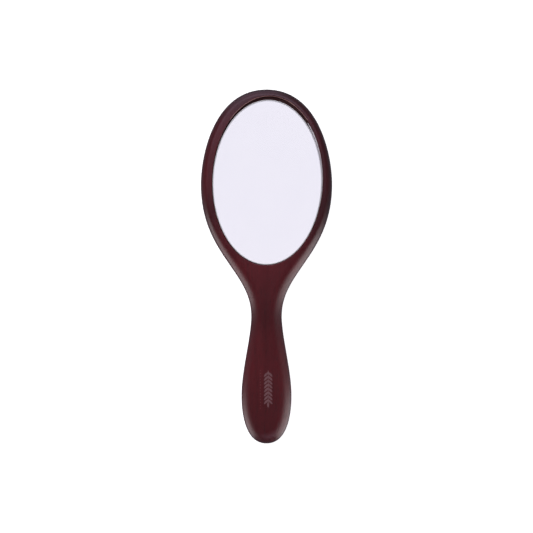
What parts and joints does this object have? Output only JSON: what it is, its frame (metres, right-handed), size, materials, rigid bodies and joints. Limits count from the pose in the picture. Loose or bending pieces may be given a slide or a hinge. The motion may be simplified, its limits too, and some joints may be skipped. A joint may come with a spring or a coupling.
{
  "type": "hand mirror",
  "caption": "Wooden hand mirror: an oval silvered glass pane in the recess of a one-piece dark hardwood body with a waisted neck and a rounded paddle grip.",
  "frame": {"origin": "under the middle of the mirror's length and width, in the plane of the flat back that it lies on", "axes": "+Y along the mirror towards the top of the head, +Z out of the glass, +X to the right as the glass is looked at with the grip down"},
  "size_m": [0.0946, 0.255, 0.0151],
  "materials": {
    "stained_wood": "satin clear lacquer over mahogany stain, fine lengthwise grain",
    "foam_tape": "white closed-cell foam, double-sided adhesive",
    "backing_paint": "matt grey protective paint",
    "silvering": "bright reflecting silver",
    "clear_glass": "polished float glass with seamed edges",
    "ink": "thin grey screen-printed ink",
    "faint_ink": "thin, faint screen-printed ink"
  },
  "bodies": {
    "root": {"wooden_body": "stained_wood", "tape_strip_left": "foam_tape", "tape_strip_middle": "foam_tape", "tape_strip_right": "foam_tape", "backing_paint": "backing_paint", "silver_layer": "silvering", "glass_pane": "clear_glass", "ornament_sprig": "ink", "ornament_dots": "faint_ink"}
  },
  "joints": []
}
